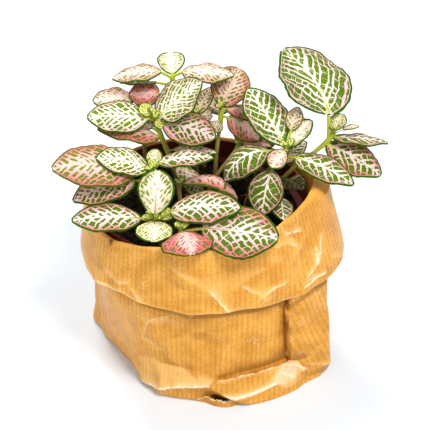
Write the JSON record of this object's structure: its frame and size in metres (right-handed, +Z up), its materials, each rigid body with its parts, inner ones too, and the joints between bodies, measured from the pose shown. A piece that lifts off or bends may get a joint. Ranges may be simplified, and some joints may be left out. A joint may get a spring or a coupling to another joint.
{
  "type": "potted nerve plant",
  "caption": "Small potted foliage plant with white and pink veined green leaves, in a plastic nursery pot of soil set inside a ribbed kraft paper bag with a turned-down cuff.",
  "frame": {"origin": "on the pot's upright axis, on the floor under the bag", "axes": "+Z up; -Y is the front, where the bag's cuff is deepest; +X to the right seen from the front"},
  "size_m": [0.1749, 0.138, 0.1605],
  "materials": {
    "kraft_paper": "satin",
    "pot_plastic": "satin",
    "soil": "matte",
    "leaves": "satin"
  },
  "bodies": {
    "root": {"paper_bag": "kraft_paper", "nursery_pot": "pot_plastic", "soil": "soil", "shoot_left_back": "leaves", "shoot_middle_back": "leaves", "shoot_far_left": "leaves", "shoot_middle": "leaves", "shoot_middle_left": "leaves", "shoot_middle_right": "leaves", "shoot_back": "leaves", "shoot_back_right": "leaves", "shoot_right_front": "leaves", "shoot_right": "leaves", "shoot_left": "leaves", "shoot_front_left": "leaves", "shoot_front": "leaves", "shoot_inner": "leaves"}
  },
  "joints": []
}
